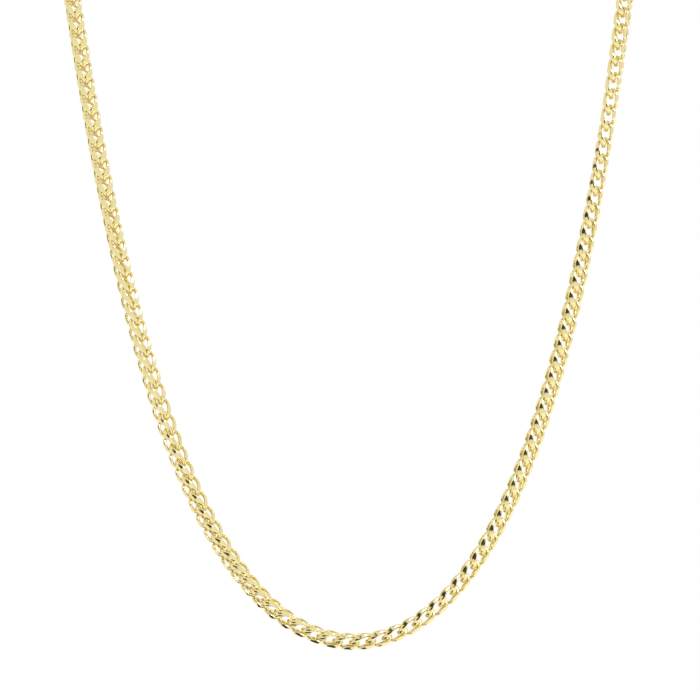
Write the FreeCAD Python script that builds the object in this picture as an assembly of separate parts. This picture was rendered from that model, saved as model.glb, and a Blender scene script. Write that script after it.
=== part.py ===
import FreeCAD, Part
import math
import os

# Franco chain necklace in polished gold, held as it is worn. Millimetres, Z up.
# The origin is on the nape, where the clasp rests. The front of the necklace hangs at minus Y.
os.makedirs("parts", exist_ok=True)
Vector = FreeCAD.Vector

# Size of the necklace: the links and the clasp close a loop of 500 mm
link_count = 152
link_pitch = 3.2
wire_diameter = 0.68

# How the front hangs: a catenary from the collar down, then back to the nape
catenary_size = 20.2
hanging_half = 147.0
front_reach = 45.0
collar_drop = 28.0
rise_handle = 41.6
nape_handle = 56.5

# Clasp at the nape, one plain piece
barrel_length = 7.6
barrel_diameter = 2.8
barrel_ridge = 3.2
ridge_length = 1.6
eye_wire = 0.7

# The ring of each eye: the chain end it holds, where it crosses that link, and the way its axis points
eye_radius = 2.6
eye_rings = [
    # (side, distance from the link's middle toward the clasp, axis)
    (-1, 1.6, "front to back"),
    (1, 0.85, "across"),
]

# Corners of the wire of one link, from the low hook round the front lobe to the side fold.
# across: side to side, depth: front to back, along: toward the next link.
link_corners = [
    # (place, across, depth, along)
    ("hook", 0.0, -0.65, -2.45),
    ("over leg", -0.25, -1.3, -1.75),
    ("inner edge", -1.15, -1.1, -0.25),
    ("under leg", -0.85, -0.4, 1.5),
    ("tip", -0.1, -0.4, 1.95),
    ("tip corner", 0.75, -0.8, 1.65),
    ("outer edge", 1.15, -1.1, 0.15),
    ("side fold", 1.15, -0.35, -0.85),
]

# Flats cut on the link's outside: the way they face round the chain and how far they are from its axis
diamond_cuts = [
    # (degrees from the front, distance)
    (-25.0, 1.56),
    (25.0, 1.56),
    (90.0, 1.42),
    (155.0, 1.56),
    (205.0, 1.56),
    (270.0, 1.42),
]

# How far the chain is turned on its own axis, by distance from the lowest point of the front
twist_by_station = [
    # (station, degrees)
    (-244.0, 100.0),
    (-192.0, 80.0),
    (-110.0, 75.0),
    (-75.0, 55.0),
    (-40.0, 32.0),
    (-8.0, 8.0),
    (10.0, 3.0),
    (50.0, 15.0),
    (80.0, 15.0),
    (110.0, 2.0),
    (140.0, -15.0),
    (244.0, 10.0),
]


def twist_at(station):
    for (start, first), (end, last) in zip(twist_by_station, twist_by_station[1:]):
        if station <= end:
            share = (station - start) / (end - start)
            ease = share * share * (3.0 - 2.0 * share)
            return first + (last - first) * ease
    return twist_by_station[-1][1]


def make_link():
    front = [Vector(across, depth, along) for place, across, depth, along in link_corners]
    back = [Vector(corner.x, -corner.y, corner.z) for corner in reversed(front)]
    corners = front + back
    start = (corners[-1] + corners[0]) * 0.5
    path = Part.makePolygon([start] + corners + [start])
    section = Part.Wire(Part.Circle(start, corners[0] - start, wire_diameter / 2).toShape())
    sweep = Part.BRepOffsetAPI.MakePipeShell(path)
    sweep.setTransitionMode(1)
    sweep.add(section)
    sweep.build()
    sweep.makeSolid()
    link = sweep.shape()
    for degrees, distance in diamond_cuts:
        waste = Part.makeBox(6.0, 2.0, 8.0, Vector(-3.0, -distance - 2.0, -4.0))
        waste.rotate(Vector(0, 0, 0), Vector(0, 0, 1), degrees)
        link = link.cut(waste)
    return link.Solids[0]


# The way round: the lowest point of the front is station 0, the right side counts up, the left side down
collar_side = catenary_size * math.asinh(hanging_half / catenary_size)
collar_height = math.hypot(catenary_size, hanging_half) - catenary_size
collar = Vector(collar_side, -front_reach, -collar_drop)
collar_way = Vector(catenary_size, 0, hanging_half).normalize()
nape_end = Vector(barrel_length / 2, barrel_ridge / 2, 0)
hidden_curve = Part.BezierCurve()
hidden_curve.setPoles([collar, collar + collar_way * rise_handle,
                       nape_end + Vector(nape_handle, 0, 0), nape_end])
hidden_length = hidden_curve.length()


def right_point(station):
    if station <= hanging_half:
        side = catenary_size * math.asinh(station / catenary_size)
        height = math.hypot(catenary_size, station) - catenary_size
        place = Vector(side, -front_reach, collar.z - collar_height + height)
        way = Vector(catenary_size, 0, station).normalize()
        return place, way
    beyond = station - hanging_half
    if beyond < hidden_length:
        share = hidden_curve.parameterAtDistance(beyond)
        return hidden_curve.value(share), hidden_curve.tangent(share)[0]
    return nape_end - Vector(beyond - hidden_length, 0, 0), Vector(-1, 0, 0)


def point_at(station):
    place, way = right_point(abs(station))
    if station < 0:
        place = Vector(-place.x, place.y, place.z)
        way = Vector(way.x, -way.y, -way.z)
    return place, way


def frames_along(stations):
    # Carries a frame along without twisting it, from the bottom of the front up one side
    turn = FreeCAD.Rotation(Vector(0, 0, -1), Vector(0, 1, 0), Vector(1, 0, 0), "ZXY")
    way_before = Vector(1, 0, 0)
    frames = []
    for station in stations:
        place, way = point_at(station)
        turn = FreeCAD.Rotation(way_before, way).multiply(turn)
        way_before = way
        twist = FreeCAD.Rotation(Vector(0, 0, 1), twist_at(station))
        frames.append(FreeCAD.Placement(place, turn.multiply(twist)))
    return frames


link = make_link()
half_count = link_count // 2
right_stations = [(number + 0.5) * link_pitch for number in range(half_count)]
left_stations = [-station for station in right_stations]
right_frames = frames_along(right_stations)
left_frames = frames_along(left_stations)


def make_run(frames):
    links = []
    for frame in frames:
        copy = link.copy()
        copy.Placement = frame
        links.append(copy)
    return Part.makeCompound(links)


def make_eye(side, inward, axis):
    end_frame = right_frames[-1] if side > 0 else left_frames[-1]
    ring_middle = Vector(0, 0, side * (inward + eye_radius))
    ring_axis = Vector(1, 0, 0) if axis == "across" else Vector(0, 1, 0)
    eye = Part.makeTorus(eye_radius, eye_wire / 2, ring_middle, ring_axis)
    eye.Placement = end_frame
    return eye


# Clasp: a barrel with a raised ridge round its middle and an eye at each end
barrel_start = Vector(-barrel_length / 2, barrel_ridge / 2, 0)
barrel = Part.makeCylinder(barrel_diameter / 2, barrel_length, barrel_start, Vector(1, 0, 0))
rims = [edge for edge in barrel.Edges if isinstance(edge.Curve, Part.Circle)]
barrel = barrel.makeFillet(0.6, rims)
ridge_start = Vector(-ridge_length / 2, barrel_ridge / 2, 0)
ridge = Part.makeCylinder(barrel_ridge / 2, ridge_length, ridge_start, Vector(1, 0, 0))
clasp = barrel.fuse([ridge] + [make_eye(*ring) for ring in eye_rings])

chain_left = make_run(left_frames)
chain_right = make_run(right_frames)

chain_left.exportStep("parts/chain_left.step")
chain_right.exportStep("parts/chain_right.step")
clasp.Solids[0].exportStep("parts/clasp.step")
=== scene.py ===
import bpy
import math
from mathutils import Matrix, Quaternion, Vector


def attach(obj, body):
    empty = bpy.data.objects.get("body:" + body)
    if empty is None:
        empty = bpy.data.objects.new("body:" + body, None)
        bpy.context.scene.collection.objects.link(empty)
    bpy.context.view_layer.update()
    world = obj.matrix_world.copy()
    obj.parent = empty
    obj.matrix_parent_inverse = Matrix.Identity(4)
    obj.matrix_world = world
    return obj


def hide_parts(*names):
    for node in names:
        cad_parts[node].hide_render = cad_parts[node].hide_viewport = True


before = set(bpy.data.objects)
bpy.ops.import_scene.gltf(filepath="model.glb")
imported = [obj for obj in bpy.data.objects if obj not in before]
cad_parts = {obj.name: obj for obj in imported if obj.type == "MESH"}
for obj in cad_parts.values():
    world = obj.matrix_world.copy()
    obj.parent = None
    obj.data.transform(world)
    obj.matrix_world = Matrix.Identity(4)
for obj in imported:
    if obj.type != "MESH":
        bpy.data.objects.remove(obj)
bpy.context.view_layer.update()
mm = 0.001
mergeWithin = 0.002 * mm
print("frame loaded")


# small helpers

def pick(pieces):
    bpy.ops.object.select_all(action="DESELECT")
    for piece in pieces:
        piece.select_set(True)
    bpy.context.view_layer.objects.active = pieces[0]


def joinAll(pieces, name):
    pick(pieces)
    bpy.ops.object.join()
    pieces[0].name = name
    pieces[0].data.name = name
    return pieces[0]


def shadeByAngle(piece, degrees):
    pick([piece])
    bpy.ops.object.shade_smooth_by_angle(angle=math.radians(degrees))


def mendMesh():
    bpy.ops.mesh.select_all(action="SELECT")
    bpy.ops.mesh.remove_doubles(threshold=mergeWithin)
    bpy.ops.mesh.normals_make_consistent(inside=False)


# gold, polished, with faint polishing marks and a slightly warmer tone in places

gold = {
    "color": (0.85, 0.745, 0.4, 1),
    "warm": (0.81, 0.685, 0.31, 1),
    "roughness": 0.12,
    "markScale": 900.0,
    "markDetail": 3.0,
    "markStrength": 0.04,
    "markDepth": 0.02,
}


def makeGold():
    material = bpy.data.materials.new("polished_gold")
    material.use_nodes = True
    nodes = material.node_tree.nodes
    links = material.node_tree.links
    shader = nodes["Principled BSDF"]
    shader.inputs["Metallic"].default_value = 1.0
    shader.inputs["Roughness"].default_value = gold["roughness"]
    place = nodes.new("ShaderNodeTexCoord")
    marks = nodes.new("ShaderNodeTexNoise")
    marks.inputs["Scale"].default_value = gold["markScale"]
    marks.inputs["Detail"].default_value = gold["markDetail"]
    links.new(place.outputs["Object"], marks.inputs["Vector"])
    tone = nodes.new("ShaderNodeMix")
    tone.data_type = "RGBA"
    tone.inputs["A"].default_value = gold["color"]
    tone.inputs["B"].default_value = gold["warm"]
    links.new(marks.outputs["Fac"], tone.inputs["Factor"])
    links.new(tone.outputs["Result"], shader.inputs["Base Color"])
    bump = nodes.new("ShaderNodeBump")
    bump.inputs["Strength"].default_value = gold["markStrength"]
    bump.inputs["Distance"].default_value = gold["markDepth"] * mm
    links.new(marks.outputs["Fac"], bump.inputs["Height"])
    links.new(bump.outputs["Normal"], shader.inputs["Normal"])
    return material


goldMaterial = makeGold()
print("gold ready")


# the way round: station 0 is the lowest point of the front, the right side counts up, the left side down

route = {
    "pitch": 3.2,
    "linksEachSide": 76,
    "catenarySize": 20.2,
    "hangingHalf": 147.0,
    "frontReach": 45.0,
    "collarDrop": 28.0,
    "riseHandle": 41.6,
    "napeHandle": 56.5,
    "napeEnd": (3.8, 1.6, 0.0),
    "hiddenSteps": 2000,
    "twist": [
        # (station, degrees)
        (-244.0, 100.0), (-192.0, 80.0), (-110.0, 75.0), (-75.0, 55.0), (-40.0, 32.0), (-8.0, 8.0),
        (10.0, 3.0), (50.0, 15.0), (80.0, 15.0), (110.0, 2.0), (140.0, -15.0), (244.0, 10.0),
    ],
}


def makeHiddenPath():
    # the bend from the collar back to the nape, as rows of (distance walked, point)
    size = route["catenarySize"]
    half = route["hangingHalf"]
    collar = Vector((size * math.asinh(half / size), -route["frontReach"], -route["collarDrop"]))
    rise = Vector((size, 0, half)).normalized() * route["riseHandle"]
    nape = Vector(route["napeEnd"])
    poles = [collar, collar + rise, nape + Vector((route["napeHandle"], 0, 0)), nape]
    path = []
    walked = 0.0
    for step in range(route["hiddenSteps"] + 1):
        share = step / route["hiddenSteps"]
        rest = 1 - share
        weights = [rest ** 3, 3 * share * rest ** 2, 3 * share * share * rest, share ** 3]
        point = sum((pole * weight for pole, weight in zip(poles, weights)), Vector())
        if path:
            walked += (point - path[-1][1]).length
        path.append((walked, point))
    return path


hiddenPath = makeHiddenPath()


def rightPoint(station):
    size = route["catenarySize"]
    half = route["hangingHalf"]
    if station <= half:
        lowest = -route["collarDrop"] - (math.hypot(size, half) - size)
        height = math.hypot(size, station) - size
        point = Vector((size * math.asinh(station / size), -route["frontReach"], lowest + height))
        return point, Vector((size, 0, station)).normalized()
    beyond = station - half
    for (startAt, start), (endAt, end) in zip(hiddenPath, hiddenPath[1:]):
        if beyond <= endAt:
            share = (beyond - startAt) / (endAt - startAt)
            return start.lerp(end, share), (end - start).normalized()


def twistAt(station):
    for (start, first), (end, last) in zip(route["twist"], route["twist"][1:]):
        if station <= end:
            share = (station - start) / (end - start)
            return first + (last - first) * share * share * (3 - 2 * share)


def framesAlong(side):
    # carries a frame up one side without twisting it, then adds the twist of each station
    turn = Matrix(((0, 0, 1), (0, 1, 0), (-1, 0, 0))).to_quaternion()
    wayBefore = Vector((1, 0, 0))
    frames = []
    for number in range(route["linksEachSide"]):
        station = (number + 0.5) * route["pitch"]
        point, way = rightPoint(station)
        if side < 0:
            point.x = -point.x
            way.y = -way.y
            way.z = -way.z
        turn = wayBefore.rotation_difference(way) @ turn
        wayBefore = way
        twist = Quaternion((0, 0, 1), math.radians(twistAt(side * station)))
        frames.append(Matrix.Translation(point * mm) @ (turn @ twist).to_matrix().to_4x4())
    return frames


# one link: a closed bent wire, mirrored front to back, with flats cut on its outside

link = {
    "wireRadius": 0.35,
    "wireRoundness": 4,
    "stepsEachCorner": 6,
    "cutWithin": 0.0001,
    "smoothUnder": 34,
    "corners": [
        # (across, depth, along, breadth) from the low hook round the front lobe to the side fold
        (0.0, -0.65, -2.45, 1.0),
        (-0.25, -1.3, -1.75, 1.45),
        (-1.15, -1.1, -0.25, 1.6),
        (-0.85, -0.4, 1.5, 1.55),
        (-0.1, -0.4, 1.95, 1.0),
        (0.75, -0.8, 1.65, 1.15),
        (1.15, -1.1, 0.15, 1.15),
        (1.15, -0.35, -0.85, 1.0),
    ],
    "flats": [
        # (degrees from the front, distance from the chain's axis)
        (-25.0, 1.77), (25.0, 1.66), (90.0, 1.42), (155.0, 1.66), (205.0, 1.77), (270.0, 1.42),
    ],
}


def broaden(mesh, breadths):
    # widens the wire along the chain's surface, and leaves its thickness
    ringCount = len(breadths) * link["stepsEachCorner"]
    sides = len(mesh.vertices) // ringCount
    rings = [mesh.vertices[number * sides:(number + 1) * sides] for number in range(ringCount)]
    middles = [sum((vertex.co for vertex in ring), Vector()) / sides for ring in rings]
    for number, ring in enumerate(rings):
        middle = middles[number]
        along = (middles[(number + 1) % ringCount] - middles[number - 1]).normalized()
        outward = Vector((middle.x, middle.y, 0)).normalized()
        sideways = along.cross(outward).normalized()
        corner, step = divmod(number, link["stepsEachCorner"])
        share = step / link["stepsEachCorner"]
        breadth = breadths[corner] * (1 - share) + breadths[(corner + 1) % len(breadths)] * share
        for vertex in ring:
            vertex.co += sideways * (vertex.co - middle).dot(sideways) * (breadth - 1)


def makeLink():
    front = link["corners"]
    back = [(across, -depth, along, breadth) for across, depth, along, breadth in reversed(front)]
    corners = front + back
    bpy.ops.curve.primitive_bezier_circle_add(radius=mm)
    wire = bpy.context.object
    bpy.ops.object.mode_set(mode="EDIT")
    bpy.ops.curve.select_all(action="SELECT")
    bpy.ops.curve.subdivide(number_cuts=3)
    bpy.ops.object.mode_set(mode="OBJECT")
    wire.data.dimensions = "3D"
    for point, corner in zip(wire.data.splines[0].bezier_points, corners):
        point.co = Vector(corner[:3]) * mm
    wire.data.resolution_u = link["stepsEachCorner"]
    wire.data.bevel_depth = link["wireRadius"] * mm
    wire.data.bevel_resolution = link["wireRoundness"]
    bpy.ops.object.mode_set(mode="EDIT")
    bpy.ops.curve.select_all(action="SELECT")
    bpy.ops.curve.handle_type_set(type="AUTOMATIC")
    bpy.ops.object.mode_set(mode="OBJECT")
    bpy.ops.object.convert(target="MESH")
    wire = bpy.context.object
    broaden(wire.data, [breadth for across, depth, along, breadth in corners])
    bpy.ops.object.mode_set(mode="EDIT")
    mendMesh()
    for degrees, distance in link["flats"]:
        angle = math.radians(degrees)
        outward = Vector((math.sin(angle), -math.cos(angle), 0))
        bpy.ops.mesh.select_all(action="SELECT")
        bpy.ops.mesh.bisect(plane_co=outward * distance * mm, plane_no=outward, clear_outer=True,
                            use_fill=True, threshold=link["cutWithin"] * mm)
    mendMesh()
    bpy.ops.object.mode_set(mode="OBJECT")
    wire.name = "link"
    shadeByAngle(wire, link["smoothUnder"])
    wire.data.materials.append(goldMaterial)
    return wire


firstLink = makeLink()
firstLink.data.calc_loop_triangles()
print("link ready, triangles", len(firstLink.data.loop_triangles))


def makeRun(side, name):
    copies = []
    for place in framesAlong(side):
        copy = firstLink.copy()
        copy.data = firstLink.data.copy()
        copy.data.transform(place)
        bpy.context.collection.objects.link(copy)
        copies.append(copy)
    return joinAll(copies, name)


leftRun = makeRun(-1, "links_left")
rightRun = makeRun(1, "links_right")
bpy.data.objects.remove(firstLink)
print("chain laid")


# clasp: a turned barrel with a raised ridge, and a ring at each end

clasp = {
    "axisDepth": 1.6,
    "sides": 40,
    "smoothUnder": 30,
    "profile": [
        # (along, radius)
        (-3.8, 0.0), (-3.8, 0.9), (-3.65, 1.2), (-3.35, 1.36), (-3.0, 1.4), (-1.0, 1.4), (-0.8, 1.44),
        (-0.65, 1.57), (-0.5, 1.6), (0.5, 1.6), (0.65, 1.57), (0.8, 1.44), (1.0, 1.4), (3.0, 1.4),
        (3.35, 1.36), (3.65, 1.2), (3.8, 0.9), (3.8, 0.0),
    ],
    "ringRadius": 2.6,
    "ringWire": 0.35,
    "ringSteps": 56,
    "ringSides": 12,
    "rings": [
        # (side, distance from the last link's middle toward the clasp, turned by degrees)
        (-1, 1.6, (90, 0, 0)),
        (1, 0.85, (0, 90, 0)),
    ],
}


def makeBarrel():
    # a grid rolled round the barrel's axis: its rows follow the profile, and the end rows close to a point
    rows = clasp["profile"]
    bands = len(rows) - 1
    bpy.ops.mesh.primitive_grid_add(x_subdivisions=bands, y_subdivisions=clasp["sides"], size=1)
    barrel = bpy.context.object
    for vertex in barrel.data.vertices:
        along, radius = rows[round((vertex.co.x + 0.5) * bands)]
        around = (vertex.co.y + 0.5) * 2 * math.pi
        depth = clasp["axisDepth"] + radius * math.cos(around)
        vertex.co = Vector((along, depth, radius * math.sin(around))) * mm
    bpy.ops.object.mode_set(mode="EDIT")
    mendMesh()
    bpy.ops.object.mode_set(mode="OBJECT")
    return barrel


def makeRing(side, inward, turned):
    radius = clasp["ringRadius"]
    bpy.ops.mesh.primitive_torus_add(major_segments=clasp["ringSteps"], minor_segments=clasp["ringSides"],
                                     major_radius=radius * mm, minor_radius=clasp["ringWire"] * mm,
                                     rotation=[math.radians(angle) for angle in turned])
    bpy.ops.object.transform_apply(location=True, rotation=True, scale=True)
    ring = bpy.context.object
    toward = Matrix.Translation((0, 0, side * (inward + radius) * mm))
    ring.data.transform(framesAlong(side)[-1] @ toward)
    return ring


claspPiece = joinAll([makeBarrel()] + [makeRing(*ring) for ring in clasp["rings"]], "barrel_clasp")
shadeByAngle(claspPiece, clasp["smoothUnder"])
claspPiece.data.materials.append(goldMaterial)
print("clasp ready")

for piece, node in ((leftRun, "chain_left"), (rightRun, "chain_right"), (claspPiece, "clasp")):
    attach(piece, "root")
    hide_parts(node)


# white studio: soft light from all round, dark flags that only reflections see

studio = {
    "target": (0.0, -45.0, -100.0),
    "floorPlace": (0.0, -30.0, -190.0),
    "floorSize": 600.0,
    "floorColor": (0.9, 0.9, 0.9, 1),
    "flagColor": (0.04, 0.03, 0.008, 1),
    "flags": [
        # (name, place, width, height, turned to the chain)
        ("flag_high_left", (-290.0, -700.0, 140.0), 560.0, 500.0, True),
        ("flag_low", (-30.0, -70.0, -186.0), 60.0, 44.0, False),
    ],
    "keyPlace": (500.0, -500.0, 500.0),
    "keySize": 350.0,
    "keyEnergy": 4.0,
}


def makePlain(name, color, roughness):
    material = bpy.data.materials.new(name)
    material.use_nodes = True
    shader = material.node_tree.nodes["Principled BSDF"]
    shader.inputs["Base Color"].default_value = color
    shader.inputs["Roughness"].default_value = roughness
    return material


bpy.ops.mesh.primitive_plane_add(size=studio["floorSize"] * mm, location=Vector(studio["floorPlace"]) * mm)
floor = bpy.context.object
floor.name = "floor"
floor.data.materials.append(makePlain("floor_white", studio["floorColor"], 0.6))

flagDark = makePlain("flag_dark", studio["flagColor"], 0.9)
target = Vector(studio["target"])
for name, place, width, height, turned in studio["flags"]:
    bpy.ops.mesh.primitive_plane_add(size=mm, location=Vector(place) * mm)
    flag = bpy.context.object
    flag.name = name
    if turned:
        flag.rotation_euler = (target - Vector(place)).to_track_quat("Z", "Y").to_euler()
    flag.scale = (width, height, 1)
    flag.data.materials.append(flagDark)
    flag.visible_camera = False
    flag.visible_diffuse = False
    flag.visible_shadow = False

world = bpy.data.worlds.new("white_room")
bpy.context.scene.world = world
world.use_nodes = True
world.node_tree.nodes["Background"].inputs["Color"].default_value = (1, 1, 1, 1)
world.node_tree.nodes["Background"].inputs["Strength"].default_value = 1.0

bpy.ops.object.light_add(type="AREA", location=Vector(studio["keyPlace"]) * mm)
key = bpy.context.object
key.name = "key_light"
key.data.size = studio["keySize"] * mm
key.data.energy = studio["keyEnergy"]
key.rotation_euler = (target * mm - key.location).to_track_quat("-Z", "Y").to_euler()

bpy.context.scene.view_settings.view_transform = "Standard"
print("studio ready")


# camera: level, on the front of the necklace, with the photo's slight lean

camera = {
    "middle": (-0.5, -45.0, -99.5),
    "distance": 900.0,
    "width": 136.1,
    "lean": -0.578,
    "sensorWidth": 36.0,
    "clipEnd": 10000.0,
}
bpy.ops.object.camera_add()
view = bpy.context.object
view.name = "camera"
lean = math.radians(camera["lean"])
right = Vector((math.cos(lean), 0, math.sin(lean)))
up = Vector((-math.sin(lean), 0, math.cos(lean)))
back = Vector((0, -1, 0))
turn = Matrix((right, up, back)).transposed().to_4x4()
view.matrix_world = Matrix.Translation((Vector(camera["middle"]) + back * camera["distance"]) * mm) @ turn
view.data.sensor_width = camera["sensorWidth"]
view.data.lens = camera["sensorWidth"] * camera["distance"] / camera["width"]
view.data.clip_end = camera["clipEnd"] * mm
bpy.context.scene.camera = view
print("camera ready")
